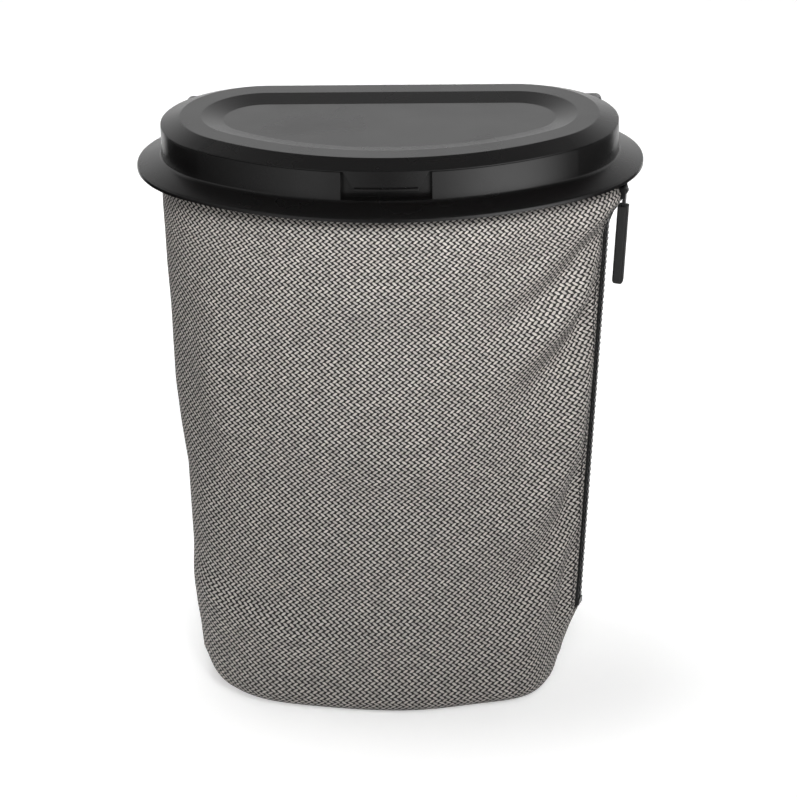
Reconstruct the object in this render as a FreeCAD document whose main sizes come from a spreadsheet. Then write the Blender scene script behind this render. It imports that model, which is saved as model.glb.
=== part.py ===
import FreeCAD
import Part
import Sketcher
import math
import os

# Car trash can: a D-shaped rim with a hinged lid, a fabric bag with a side zip, and a rear hanging clip.
# Millimetres. +Z up, front at -Y, origin on the floor below the middle of the whole thing.

doc = FreeCAD.newDocument("car_trash_can")
V = FreeCAD.Vector

sheet = doc.addObject("Spreadsheet::Sheet", "dims")
SIZES = [
    ("half_width", "108.5", "half the collar's width"),
    ("depth", "120", "collar, front to back"),
    ("corner_radius", "50", "rear corners of the D outline"),
    ("total_height", "290", "floor to lid top"),
    ("bevel_drop", "3.4", "lid bevel, height"),
    ("bevel_run", "9.2", "lid bevel, width"),
    ("lid_edge", "0.6", "upright edge under the bevel"),
    ("lid_gap", "0.15", "lid above the collar"),
    ("land_width", "10.2", "flat border of the lid"),
    ("recess_run", "10.5", "slope round the sunk panel, width"),
    ("recess_depth", "2.2", "sunk panel, depth"),
    ("lid_round", "0.8", "rounding of the lid's upper edges"),
    ("cavity_inset", "7", "hollow under the lid border, from the lid edge"),
    ("cavity_depth", "1.8", "hollow under the lid border, depth"),
    ("lip_height", "4", "locating lip under the lid"),
    ("lip_wall", "1.8", "locating lip, thickness"),
    ("lip_gap", "0.5", "locating lip to collar"),
    ("lip_rear", "20", "the lip ends this far behind the widest line"),
    ("collar_wall", "2.2", "collar thickness"),
    ("collar_foot", "18.6", "lid top down to the collar's foot"),
    ("foot_fillet", "1.4", "collar foot into brim"),
    ("brim_width", "11.5", "brim beyond the collar"),
    ("brim_drop", "3.9", "brim slope, height"),
    ("brim_edge", "2", "brim edge, height"),
    ("brim_lip", "1.8", "brim edge, thickness"),
    ("edge_fillet", "0.9", "rounding of the brim edge"),
    ("shelf", "2.4", "brim root, thickness"),
    ("skirt_depth", "9", "skirt the bag hangs on"),
    ("skirt_wall", "1.8", "skirt thickness"),
    ("notch_half", "21.3", "half the notch's width"),
    ("notch_depth", "5", "notch wall set back by"),
    ("notch_wall", "2", "walls of the notch"),
    ("sill", "0.8", "notch floor above the collar's foot"),
    ("tongue_half", "20", "tongue, half width at the top"),
    ("tongue_tip", "15.2", "tongue, half width at the tip"),
    ("tongue_length", "9", "tongue below the lid edge"),
    ("tongue_wall", "1.8", "tongue thickness"),
    ("tongue_ridge", "1.1", "grip ridge at the tip"),
    ("hinge_x", "38", "hinge, sideways from the middle"),
    ("hinge_back", "3.6", "hinge axis behind the collar"),
    ("hinge_drop", "10.5", "hinge axis below the lid top"),
    ("knuckle_radius", "3", "hinge knuckles"),
    ("lug_half", "4.6", "lid knuckle, half width"),
    ("ear_gap", "0.3", "lid knuckle to rim knuckle"),
    ("ear_wall", "4", "rim knuckle, width"),
    ("pin_radius", "1.2", "hinge pin"),
    ("pin_play", "0.05", "hinge pin in the lid knuckle, radial"),
    ("bag_wall", "1.2", "coated fabric"),
    ("flare_height", "20", "flare of the bag under its hem, height"),
    ("flare_run", "4.36", "bag outline below the flare, in from the hem"),
    ("bag_taper", "22.5", "bag outline at the floor, in from the hem"),
    ("bag_swell", "6", "slack left side of the bag below the flare, out by"),
    ("bag_round", "12", "turn of the fabric at the bottom"),
    ("bag_gap", "0.4", "bag top under the brim"),
    ("layer_gap", "0.2", "between sewn layers"),
    ("strip_wall", "0.6", "hem strip"),
    ("strip_height", "6.4", "hem strip, height"),
    ("zip_angle", "14", "zip, degrees in front of the widest line"),
    ("zip_length", "222", "zip opening"),
    ("zip_slot_half", "6", "half the gap in the fabric"),
    ("tape_half", "12", "tape, outer edge from the zip's middle"),
    ("tape_wall", "0.8", "zip tape"),
    ("tape_edge", "1.2", "tape, inner edge from the zip's middle"),
    ("tooth_pitch", "3", "zip teeth"),
    ("tooth_length", "1.2", "tooth along the zip"),
    ("tooth_height", "1.9", "tooth above the tape"),
    ("teeth_half", "3", "half the width of the closed teeth"),
    ("slider_length", "9.6", "zip slider"),
    ("slider_half", "4.4", "zip slider, half width"),
    ("slider_play", "0.2", "slider to teeth"),
    ("plate_wall", "1.3", "slider plates"),
    ("link_half", "1.3", "puller link, half width"),
    ("bar_radius", "0.7", "slider's pull bar"),
    ("bar_rise", "3.35", "pull bar raised clear of the slider plate by"),
    ("grip_length", "40", "puller grip"),
    ("grip_half", "2.9", "puller grip, half width"),
    ("grip_wall", "4.8", "puller grip, thickness"),
    ("clip_half", "100.7", "rear clip, half width"),
    ("clip_wall", "2", "rear clip, thickness"),
    ("clip_slot", "15.8", "gap inside the rear clip"),
    ("clip_gap", "0.2", "clip to the brim's rear edge"),
    ("clip_top", "16.5", "lid top down to the top of the clip"),
    ("clip_tail", "49.5", "clip top down to the end of its rear leg"),
    ("clip_front", "19.5", "clip top down to the end of its front leg"),
    ("clip_corner", "6", "upper corners of the clip"),
    ("clip_tail_corner", "22", "lower corners of the clip"),
    ("jaw_half", "48", "jaw that grips the brim, half width"),
]
for row, (alias, number, note) in enumerate(SIZES, 1):
    sheet.set("A%d" % row, note)
    sheet.set("B%d" % row, number)
    sheet.setAlias("B%d" % row, alias)
doc.recompute()


class Dim:
    """A length as its present number and as the expression over the sheet that gives it."""

    def __init__(self, number, text):
        self.number = number
        self.text = text

    def __add__(self, other):
        other = as_dim(other)
        return Dim(self.number + other.number, "(%s + %s)" % (self.text, other.text))

    def __sub__(self, other):
        other = as_dim(other)
        return Dim(self.number - other.number, "(%s - %s)" % (self.text, other.text))

    def __mul__(self, other):
        other = as_dim(other)
        return Dim(self.number * other.number, "(%s * %s)" % (self.text, other.text))

    def __truediv__(self, other):
        other = as_dim(other)
        return Dim(self.number / other.number, "(%s / %s)" % (self.text, other.text))

    def __neg__(self):
        return Dim(-self.number, "(0 - %s)" % self.text)


def as_dim(thing):
    if isinstance(thing, Dim):
        return thing
    return Dim(float(thing), "(%s)" % thing)


def size(alias):
    return Dim(float(sheet.get(alias)), "dims.%s" % alias)


def new_body(name):
    body = doc.addObject("PartDesign::Body", name)
    body.Label = name
    return body


def origin_feature(body, role):
    return [f for f in body.Origin.OriginFeatures if f.Role == role][0]


def new_sketch(body, role, offset):
    sketch = body.newObject("Sketcher::SketchObject", "Sketch")
    sketch.AttachmentSupport = [(origin_feature(body, role), "")]
    sketch.MapMode = "FlatFace"
    offset = as_dim(offset)
    sketch.AttachmentOffset = FreeCAD.Placement(V(0, 0, offset.number), FreeCAD.Rotation())
    sketch.setExpression("AttachmentOffset.Base.z", offset.text)
    return sketch


def drive(sketch, constraint, length):
    index = sketch.addConstraint(constraint)
    sketch.setExpression("Constraints[%d]" % index, length.text)


def pin_point(sketch, geo, end, x, y):
    """Ties a point of the sketch to its x and y from the origin."""
    for kind, length, axis in (("DistanceX", as_dim(x), -2), ("DistanceY", as_dim(y), -1)):
        if abs(length.number) < 1e-9:
            sketch.addConstraint(Sketcher.Constraint("PointOnObject", geo, end, axis))
        elif length.number > 0:
            drive(sketch, Sketcher.Constraint(kind, -1, 1, geo, end, length.number), length)
        else:
            drive(sketch, Sketcher.Constraint(kind, geo, end, -1, 1, -length.number), -length)


def add_polygon(sketch, points):
    points = [(as_dim(x), as_dim(y)) for x, y in points]
    count = len(points)
    first = sketch.GeometryCount
    for i in range(count):
        here = points[i]
        after = points[(i + 1) % count]
        start = V(here[0].number, here[1].number, 0)
        stop = V(after[0].number, after[1].number, 0)
        sketch.addGeometry(Part.LineSegment(start, stop), False)
    for i in range(count):
        after = first + (i + 1) % count
        sketch.addConstraint(Sketcher.Constraint("Coincident", first + i, 2, after, 1))
    for i in range(count):
        pin_point(sketch, first + i, 1, points[i][0], points[i][1])


def add_rectangle(sketch, x0, x1, y0, y1):
    add_polygon(sketch, [(x0, y0), (x1, y0), (x1, y1), (x0, y1)])


def add_circle(sketch, x, y, radius):
    x = as_dim(x)
    y = as_dim(y)
    radius = as_dim(radius)
    circle = Part.Circle(V(x.number, y.number, 0), V(0, 0, 1), radius.number)
    geo = sketch.addGeometry(circle, False)
    pin_point(sketch, geo, 3, x, y)
    drive(sketch, Sketcher.Constraint("Radius", geo, radius.number), radius)


# The D outline: a straight back, two corner arcs centred on the X axis, and one wide arc at the front.
half_width = size("half_width")
corner = size("corner_radius")
straight = half_width - corner
reach = size("depth") - corner
front_radius = (straight * straight + reach * reach - corner * corner) / ((reach - corner) * 2)
front_centre = front_radius - reach


def add_outline(sketch, offset, swell=0):
    """Adds the closed D outline, moved outward by offset, and at its left corner by swell more."""
    offset = as_dim(offset)
    swell = as_dim(swell)
    side = straight
    right_round = corner + offset
    left_round = right_round + swell
    wide = front_radius + offset + swell / as_dim(2)
    to_right = wide.number - right_round.number
    to_left = wide.number - left_round.number
    middle = (to_left ** 2 - to_right ** 2) / (4 * side.number)
    rise = math.sqrt(to_right ** 2 - (side.number - middle) ** 2)
    right_turn = math.atan2(-rise, side.number - middle)
    left_turn = math.atan2(-rise, -side.number - middle)
    lean = math.pi / 2 - math.asin(swell.number / (2 * side.number))
    up = V(math.cos(lean), math.sin(lean), 0)
    right_centre = V(side.number, 0, 0)
    left_centre = V(-side.number, 0, 0)
    right = Part.Circle(right_centre, V(0, 0, 1), right_round.number)
    left = Part.Circle(left_centre, V(0, 0, 1), left_round.number)
    front = Part.Circle(V(middle, rise, 0), V(0, 0, 1), wide.number)
    back = Part.LineSegment(right_centre + up * right_round.number, left_centre + up * left_round.number)
    g0 = sketch.addGeometry(back, False)
    g1 = sketch.addGeometry(Part.ArcOfCircle(left, lean, left_turn + 2 * math.pi), False)
    g2 = sketch.addGeometry(Part.ArcOfCircle(front, left_turn, right_turn), False)
    g3 = sketch.addGeometry(Part.ArcOfCircle(right, right_turn, lean), False)
    sketch.addConstraint(Sketcher.Constraint("Tangent", g0, 2, g1, 1))
    sketch.addConstraint(Sketcher.Constraint("Tangent", g1, 2, g2, 1))
    sketch.addConstraint(Sketcher.Constraint("Tangent", g2, 2, g3, 1))
    sketch.addConstraint(Sketcher.Constraint("Tangent", g3, 2, g0, 1))
    pin_point(sketch, g3, 3, side, 0)
    sketch.addConstraint(Sketcher.Constraint("Symmetric", g1, 3, g3, 3, -2))
    drive(sketch, Sketcher.Constraint("Radius", g3, right_round.number), right_round)
    drive(sketch, Sketcher.Constraint("Radius", g1, left_round.number), left_round)
    drive(sketch, Sketcher.Constraint("Radius", g2, wide.number), wide)


def add_front_sector(sketch, outer, inner, half):
    """Adds a strip along the front arc between two offsets, as wide as half on each side."""
    outer = front_radius + outer
    inner = front_radius + inner
    half = as_dim(half)
    middle = V(0, front_centre.number, 0)
    a0 = math.asin(half.number / outer.number)
    a1 = math.asin(half.number / inner.number)
    down = -math.pi / 2
    ring0 = Part.Circle(middle, V(0, 0, 1), outer.number)
    ring1 = Part.Circle(middle, V(0, 0, 1), inner.number)
    y0 = middle.y - outer.number * math.cos(a0)
    y1 = middle.y - inner.number * math.cos(a1)
    g0 = sketch.addGeometry(Part.ArcOfCircle(ring0, down - a0, down + a0), False)
    g1 = sketch.addGeometry(Part.LineSegment(V(half.number, y0, 0), V(half.number, y1, 0)), False)
    g2 = sketch.addGeometry(Part.ArcOfCircle(ring1, down - a1, down + a1), False)
    g3 = sketch.addGeometry(Part.LineSegment(V(-half.number, y1, 0), V(-half.number, y0, 0)), False)
    sketch.addConstraint(Sketcher.Constraint("Coincident", g0, 2, g1, 1))
    sketch.addConstraint(Sketcher.Constraint("Coincident", g1, 2, g2, 2))
    sketch.addConstraint(Sketcher.Constraint("Coincident", g2, 1, g3, 1))
    sketch.addConstraint(Sketcher.Constraint("Coincident", g3, 2, g0, 1))
    pin_point(sketch, g0, 3, 0, front_centre)
    sketch.addConstraint(Sketcher.Constraint("Coincident", g2, 3, g0, 3))
    drive(sketch, Sketcher.Constraint("Radius", g0, outer.number), outer)
    drive(sketch, Sketcher.Constraint("Radius", g2, inner.number), inner)
    sketch.addConstraint(Sketcher.Constraint("Vertical", g1))
    sketch.addConstraint(Sketcher.Constraint("Vertical", g3))
    drive(sketch, Sketcher.Constraint("DistanceX", -1, 1, g1, 1, half.number), half)
    drive(sketch, Sketcher.Constraint("DistanceX", g3, 1, -1, 1, half.number), half)


def outline_sketch(body, height, *offsets, swell=0):
    sketch = new_sketch(body, "XY_Plane", height)
    for offset in offsets:
        add_outline(sketch, offset, swell)
    return sketch


def extrude(body, kind, sketch, length, reverse=False, both=False):
    """Adds a Pad or Pocket of the sketch with a driven length."""
    feature = body.newObject("PartDesign::" + kind, kind)
    feature.Profile = sketch
    length = as_dim(length)
    feature.Length = length.number
    feature.setExpression("Length", length.text)
    feature.Reversed = reverse
    if both:
        feature.SideType = "Symmetric"
    sketch.Visibility = False
    body.Tip = feature
    return feature


def loft(body, kind, low, high):
    feature = body.newObject("PartDesign::" + kind, kind)
    feature.Profile = low
    feature.Sections = [high]
    feature.Ruled = True
    body.Tip = feature
    return feature


def mirror(body, originals):
    doc.recompute()
    feature = body.newObject("PartDesign::Mirrored", "Mirrored")
    feature.Originals = originals
    feature.MirrorPlane = (origin_feature(body, "YZ_Plane"), [""])
    body.Tip = feature
    return feature


def fillet(body, radius, wanted):
    """Rounds the edges of the body so far that the test picks."""
    doc.recompute()
    base = body.Tip
    names = ["Edge%d" % (i + 1) for i, edge in enumerate(base.Shape.Edges) if wanted(edge)]
    feature = body.newObject("PartDesign::Fillet", "Fillet")
    feature.Base = (base, names)
    radius = as_dim(radius)
    feature.Radius = radius.number
    feature.setExpression("Radius", radius.text)
    body.Tip = feature
    return feature


def level(edge, height):
    box = edge.BoundBox
    return abs(box.ZMin - height.number) < 1e-4 and abs(box.ZMax - height.number) < 1e-4


# Heights above the floor.
top = size("total_height")
lid_low = top - size("bevel_drop") - size("lid_edge")
collar_top = lid_low - size("lid_gap")
foot = top - size("collar_foot")
brim_high = foot - size("brim_drop")
brim_low = brim_high - size("brim_edge")
shelf_low = foot - size("shelf")
skirt_low = shelf_low - size("skirt_depth")
axis_y = corner + size("hinge_back")
axis_z = top - size("hinge_drop")
bore = size("pin_radius") + size("pin_play")

# Rim: brim cone, collar, skirt, front notch and hinge knuckles in one moulding.
rim = new_body("rim_frame")
brim = size("brim_width")
inner = -(size("collar_wall") + size("skirt_wall"))
extrude(rim, "Pad", outline_sketch(rim, brim_low, brim), size("brim_edge"))
loft(rim, "AdditiveLoft", outline_sketch(rim, brim_high, brim), outline_sketch(rim, foot, 0))
hollow = outline_sketch(rim, brim_low, brim - size("brim_lip"))
loft(rim, "SubtractiveLoft", hollow, outline_sketch(rim, shelf_low, 0))
extrude(rim, "Pad", outline_sketch(rim, foot, 0), collar_top - foot)
fillet(rim, size("edge_fillet"), lambda edge: level(edge, brim_high))
fillet(rim, size("foot_fillet"), lambda edge: level(edge, foot))
skirt_sketch = outline_sketch(rim, shelf_low, -size("collar_wall"))
extrude(rim, "Pad", skirt_sketch, size("skirt_depth"), reverse=True)
extrude(rim, "Pocket", outline_sketch(rim, collar_top, inner), collar_top - skirt_low)
bowl = outline_sketch(rim, collar_top, -size("collar_wall"))
extrude(rim, "Pocket", bowl, collar_top - foot - size("sill"))
boss = new_sketch(rim, "XY_Plane", foot)
back_of_notch = -(size("notch_depth") + size("notch_wall"))
boss_half = size("notch_half") + size("notch_wall")
add_front_sector(boss, -1, back_of_notch, boss_half)
extrude(rim, "Pad", boss, collar_top - foot)
cut = new_sketch(rim, "XY_Plane", collar_top)
add_front_sector(cut, 2, -size("notch_depth"), size("notch_half"))
extrude(rim, "Pocket", cut, collar_top - foot - size("sill"))
knuckle = size("knuckle_radius")
ear_x = size("hinge_x") + size("lug_half") + size("ear_gap")
ear_x2 = size("hinge_x") - size("lug_half") - size("ear_gap") - size("ear_wall")
ears = []
for at in (ear_x, ear_x2):
    web = new_sketch(rim, "YZ_Plane", at)
    add_rectangle(web, corner - 1, axis_y, axis_z - knuckle, axis_z + knuckle)
    ears.append(extrude(rim, "Pad", web, size("ear_wall")))
    eye = new_sketch(rim, "YZ_Plane", at)
    add_circle(eye, axis_y, axis_z, knuckle)
    ears.append(extrude(rim, "Pad", eye, size("ear_wall")))
mirror(rim, ears)
hole = new_sketch(rim, "YZ_Plane", 0)
add_circle(hole, axis_y, axis_z, size("pin_radius") + size("pin_play") / 5)
extrude(rim, "Pocket", hole, (ear_x + size("ear_wall") + 1) * 2, both=True)

# Lid: bevelled cap with a sunk panel, a locating lip, the thumb tongue and two hinge knuckles.
lid = new_body("lid")
bevel = size("bevel_run")
border = bevel + size("land_width")
extrude(lid, "Pad", outline_sketch(lid, lid_low, 0), size("lid_edge"))
bevel_low = lid_low + size("lid_edge")
loft(lid, "AdditiveLoft", outline_sketch(lid, bevel_low, 0), outline_sketch(lid, top, -bevel))
panel = outline_sketch(lid, top - size("recess_depth"), -(border + size("recess_run")))
loft(lid, "SubtractiveLoft", outline_sketch(lid, top, -border), panel)
fillet(lid, size("lid_round"), lambda edge: level(edge, top))
cavity = outline_sketch(lid, lid_low, -size("cavity_inset"), -(border - 2))
extrude(lid, "Pocket", cavity, size("cavity_depth"), reverse=True)
lip_out = -(size("collar_wall") + size("lip_gap"))
lip = outline_sketch(lid, lid_low, lip_out, lip_out - size("lip_wall"))
extrude(lid, "Pad", lip, size("lip_height"), reverse=True)
clear = new_sketch(lid, "XY_Plane", lid_low)
add_rectangle(clear, -half_width, half_width, size("lip_rear"), corner)
extrude(lid, "Pocket", clear, size("lip_height"))
clear = new_sketch(lid, "XY_Plane", lid_low)
add_rectangle(clear, -(boss_half + 1.5), boss_half + 1.5, -reach, -(reach - 12))
extrude(lid, "Pocket", clear, size("lip_height"))
tip_low = lid_low - size("tongue_length")
tongue = new_sketch(lid, "XY_Plane", lid_low)
add_front_sector(tongue, 0, -size("tongue_wall"), size("tongue_half"))
extrude(lid, "Pad", tongue, size("tongue_length"), reverse=True)
sides = new_sketch(lid, "XZ_Plane", reach + 5)
wide = size("tongue_half")
tip = size("tongue_tip")
for side in (1, -1):
    flank = [(wide, lid_low), (wide + 1, lid_low), (wide + 1, tip_low - 1), (tip, tip_low - 1), (tip, tip_low)]
    add_polygon(sides, [(x * side, z) for x, z in flank])
extrude(lid, "Pocket", sides, 15)
ridge = new_sketch(lid, "XY_Plane", tip_low)
add_front_sector(ridge, size("tongue_ridge"), -0.5, tip - 0.2)
extrude(lid, "Pad", ridge, 1.3)
web = new_sketch(lid, "YZ_Plane", size("hinge_x") - size("lug_half"))
near = axis_y - knuckle
shoulder = (axis_y + knuckle * 0.45, axis_z + knuckle * 1.6)
edge_high = lid_low + size("lid_edge")
neck = [(corner - 4, lid_low), (near, lid_low), (near, axis_z), (axis_y + knuckle, axis_z), shoulder]
add_polygon(web, neck + [(corner, edge_high), (corner - 4, edge_high)])
lugs = [extrude(lid, "Pad", web, size("lug_half") * 2)]
eye = new_sketch(lid, "YZ_Plane", size("hinge_x") - size("lug_half"))
add_circle(eye, axis_y, axis_z, knuckle)
lugs.append(extrude(lid, "Pad", eye, size("lug_half") * 2))
mirror(lid, lugs)
hole = new_sketch(lid, "YZ_Plane", 0)
add_circle(hole, axis_y, axis_z, bore)
extrude(lid, "Pocket", hole, (size("hinge_x") + size("lug_half") + 1) * 2, both=True)

# Hinge pins, held in the rim's knuckles.
pin_length = ear_x + size("ear_wall") - ear_x2
for name, start in (("hinge_pin_right", ear_x2), ("hinge_pin_left", -(ear_x + size("ear_wall")))):
    pin = new_body(name)
    rod = new_sketch(pin, "YZ_Plane", start)
    add_circle(rod, axis_y, axis_z, size("pin_radius"))
    extrude(pin, "Pad", rod, pin_length)

# Hem strip: flat band sewn inside the bag's top hem, round the skirt.
strip = new_body("hem_strip")
strip_out = -(size("bag_wall") + size("layer_gap"))
band = outline_sketch(strip, skirt_low + 1, strip_out, strip_out - size("strip_wall"))
extrude(strip, "Pad", band, size("strip_height"))

# Bag: upright hem, a short flare, then walls that taper to the floor and turn under.
# The zip holds its side straight, and the slack left side swells out.
bag_taper = size("bag_taper")
wall = size("bag_wall")
bag_top = shelf_low - size("bag_gap")
flare = size("flare_run")
flare_low = skirt_low - size("flare_height")
swell = size("bag_swell")
form = new_body("bag_form")
extrude(form, "Pad", outline_sketch(form, skirt_low, 0), bag_top - skirt_low)
waist = outline_sketch(form, flare_low, -flare, swell=swell)
loft(form, "AdditiveLoft", outline_sketch(form, skirt_low, 0), waist)
waist = outline_sketch(form, flare_low, -flare, swell=swell)
loft(form, "AdditiveLoft", waist, outline_sketch(form, 0, -bag_taper, swell=swell))
waist = outline_sketch(form, flare_low, -(flare + wall), swell=swell)
loft(form, "SubtractiveLoft", outline_sketch(form, skirt_low, -wall), waist)
waist = outline_sketch(form, flare_low, -(flare + wall), swell=swell)
floor_line = outline_sketch(form, wall, -(bag_taper + wall), swell=swell)
loft(form, "SubtractiveLoft", waist, floor_line)
extrude(form, "Pocket", outline_sketch(form, bag_top, -wall), bag_top - skirt_low)
fillet(form, size("bag_round"), lambda edge: level(edge, as_dim(0)))
fillet(form, size("bag_round") - wall, lambda edge: level(edge, wall))
seam = outline_sketch(form, 0, -(bag_taper + size("bag_round")), swell=swell)
extrude(form, "Pocket", seam, wall, reverse=True)
base = new_body("bag_base_panel")
base_inset = -(bag_taper + size("bag_round") + size("layer_gap"))
extrude(base, "Pad", outline_sketch(base, 0, base_inset, swell=swell), wall)

# Frame of the zip: X out of the fabric, Y across the zip to the back, Z up along it.
zip_turn = math.radians(size("zip_angle").number)
facing = V(math.cos(zip_turn), -math.sin(zip_turn), 0)
zip_inset = flare - size("flare_height") * (bag_taper - flare) / flare_low
zip_head = V(straight.number, 0, skirt_low.number) + facing * (corner - zip_inset).number
zip_floor = V(straight.number, 0, 0) + facing * (corner - bag_taper).number
along = (zip_head - zip_floor).normalize()
outward = (facing - along * facing.dot(along)).normalize()
across = along.cross(outward)
zip_frame = FreeCAD.Placement(zip_head, FreeCAD.Rotation(outward, across, along, "ZXY"))


def zip_box(name, y0, y1, z0, z1):
    """A block in the zip's frame, reaching through the fabric."""
    y0 = as_dim(y0)
    z0 = as_dim(z0)
    block = doc.addObject("Part::Box", name)
    block.Length = 12
    block.setExpression("Width", (as_dim(y1) - y0).text)
    block.setExpression("Height", (as_dim(z1) - z0).text)
    block.Placement = zip_frame * FreeCAD.Placement(V(-6, y0.number, z0.number), FreeCAD.Rotation())
    return block


def boolean(kind, name, first, second):
    result = doc.addObject("Part::" + kind, name)
    result.Label = name
    result.Base = first
    result.Tool = second
    return result


zip_low = -size("zip_length")
slot_half = size("zip_slot_half")
slot = zip_box("zip_slot", -slot_half, slot_half, zip_low, -0.4)
panel = boolean("Cut", "bag_body_panel", form, slot)

# Zip tapes: two strips of the same taper, sewn behind the edges of the gap.
tapes = new_body("tape_form")
tape_out = -(wall + size("layer_gap"))
tape_in = tape_out - size("tape_wall")
tape_inset = flare - size("flare_height") * (bag_taper - flare) / (flare_low - wall)
floor_line = outline_sketch(tapes, wall, tape_out - bag_taper)
loft(tapes, "AdditiveLoft", outline_sketch(tapes, skirt_low, tape_out - tape_inset), floor_line)
floor_line = outline_sketch(tapes, wall, tape_in - bag_taper)
loft(tapes, "SubtractiveLoft", outline_sketch(tapes, skirt_low, tape_in - tape_inset), floor_line)
tape_half = size("tape_half")
tape_edge = size("tape_edge")
block = zip_box("front_block", -tape_half, -tape_edge, zip_low - 2, -0.3)
tape_front = boolean("Common", "zipper_tape_front", tapes, block)
block = zip_box("back_block", tape_edge, tape_half, zip_low - 2, -0.3)
tape_back = boolean("Common", "zipper_tape_back", tapes, block)

# Zip teeth: each row is a cord with teeth that mesh with the other row's.
seat = tape_out + size("layer_gap")
crown = seat + size("tooth_height")
teeth_half = size("teeth_half")
slider_high = as_dim(-1.4)
slider_low = slider_high - size("slider_length")
teeth_high = slider_high - 2.9
teeth_low = zip_low + 4
pitch = size("tooth_pitch")
run = teeth_high - teeth_low - size("tooth_length") - pitch / 2
for name, side in (("zipper_teeth_front", -1), ("zipper_teeth_back", 1)):
    row = new_body(name)
    cord = new_sketch(row, "XY_Plane", teeth_low)
    add_rectangle(cord, seat, seat + 1.3, teeth_half * side, (tape_edge + 0.4) * side)
    extrude(row, "Pad", cord, slider_high - 0.7 - teeth_low)
    first = teeth_high - size("tooth_length") - pitch * (0.25 + 0.25 * side)
    tooth = new_sketch(row, "XY_Plane", first)
    add_rectangle(tooth, seat, crown, (teeth_half - 0.8) * side, as_dim(-0.9) * side)
    single = extrude(row, "Pad", tooth, size("tooth_length"))
    doc.recompute()
    comb = row.newObject("PartDesign::LinearPattern", "LinearPattern")
    comb.Originals = [single]
    comb.Direction = (origin_feature(row, "Z_Axis"), [""])
    comb.Reversed = True
    comb.setExpression("Length", "floor(%s / %s) * %s" % (run.text, pitch.text, pitch.text))
    comb.setExpression("Occurrences", "floor(%s / %s) + 1" % (run.text, pitch.text))
    row.Tip = comb
    row.Placement = zip_frame

# Stops at both ends of the zip.
stop_high = as_dim(-0.4)
for name, side in (("top_stop_front", -1), ("top_stop_back", 1)):
    stop = new_body(name)
    block = new_sketch(stop, "XY_Plane", slider_high + 0.1)
    add_rectangle(block, seat, crown, as_dim(1.3) * side, (teeth_half + 0.2) * side)
    extrude(stop, "Pad", block, stop_high - slider_high - 0.1)
    stop.Placement = zip_frame
stop = new_body("bottom_stop")
block = new_sketch(stop, "XY_Plane", teeth_low - 3.1)
add_rectangle(block, seat, crown + 0.2, -(teeth_half + 0.2), teeth_half + 0.2)
extrude(stop, "Pad", block, 3)
stop.Placement = zip_frame

# Slider: two plates joined by a neck that runs between the tapes, with a bar for the puller.
slider = new_body("zipper_slider")
half = size("slider_half")
plate = size("plate_wall")
play = size("slider_play")
plate_out = crown + play
plate_in = tape_in - 0.25 - play
for height in (plate_out, plate_in - plate):
    face = new_sketch(slider, "YZ_Plane", height)
    mid = slider_high - 4.5
    right = [(half, slider_high), (half, mid), (half - 0.9, slider_low)]
    add_polygon(face, right + [(-y, z) for y, z in reversed(right)])
    extrude(slider, "Pad", face, plate)
    if height is plate_out:
        post = new_sketch(slider, "YZ_Plane", plate_in)
        add_rectangle(post, -0.9, 0.9, slider_high - 2.6, slider_high - 0.6)
        extrude(slider, "Pad", post, plate_out - plate_in)
rails = new_sketch(slider, "YZ_Plane", seat + 0.3)
add_rectangle(rails, half - 0.9, half, mid, slider_high)
add_rectangle(rails, -half, -(half - 0.9), mid, slider_high)
extrude(slider, "Pad", rails, plate_out - seat - 0.3)
eye_radius = size("bar_radius") + 0.95
bar_x = plate_out + plate + eye_radius + play + size("bar_rise")
bar_z = slider_high - 2.6
cheek = size("link_half") + 0.15
cheeks = new_sketch(slider, "YZ_Plane", plate_out + plate / 2)
add_rectangle(cheeks, cheek, cheek + 0.9, bar_z - 1.6, bar_z + 1.6)
add_rectangle(cheeks, -(cheek + 0.9), -cheek, bar_z - 1.6, bar_z + 1.6)
extrude(slider, "Pad", cheeks, bar_x + 0.9 - plate_out - plate / 2)
bar = new_sketch(slider, "XZ_Plane", 0)
add_circle(bar, bar_x, bar_z, size("bar_radius"))
extrude(slider, "Pad", bar, cheek * 2 + 0.8, both=True)
slider.Placement = zip_frame

# Puller: a link that swings on the slider's bar, moulded into a long grip.
link = new_body("pull_link")
link_wide = size("link_half") * 2
grip_high = slider_low - 0.6
eye = new_sketch(link, "XZ_Plane", 0)
add_circle(eye, bar_x, bar_z, eye_radius)
extrude(link, "Pad", eye, link_wide, both=True)
shank = new_sketch(link, "XZ_Plane", 0)
add_rectangle(shank, bar_x - 0.7, bar_x + 0.7, grip_high - 5, bar_z)
extrude(link, "Pad", shank, link_wide, both=True)
hole = new_sketch(link, "XZ_Plane", 0)
add_circle(hole, bar_x, bar_z, size("bar_radius") + 0.1)
extrude(link, "Pocket", hole, link_wide + 1, both=True)
link.Placement = zip_frame
grip = new_body("pull_grip")
grip_half = size("grip_half")
tail = grip_high - size("grip_length")
bar_section = new_sketch(grip, "XY_Plane", tail)
grip_in = bar_x - size("grip_wall") / 2 - 0.2
add_rectangle(bar_section, grip_in, grip_in + size("grip_wall"), -grip_half, grip_half)
extrude(grip, "Pad", bar_section, size("grip_length"))
fillet(grip, grip_half - 0.3, lambda edge: level(edge, tail) and edge.BoundBox.YLength < 0.01)
fillet(grip, size("grip_wall") / 4, lambda edge: edge.BoundBox.ZLength > 20)
socket = new_sketch(grip, "XY_Plane", grip_high)
slack = size("layer_gap")
link_half = size("link_half") + slack
add_rectangle(socket, bar_x - 0.7 - slack, bar_x + 0.7 + slack, -link_half, link_half)
extrude(grip, "Pocket", socket, slack + 5)
grip.Placement = zip_frame


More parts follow.
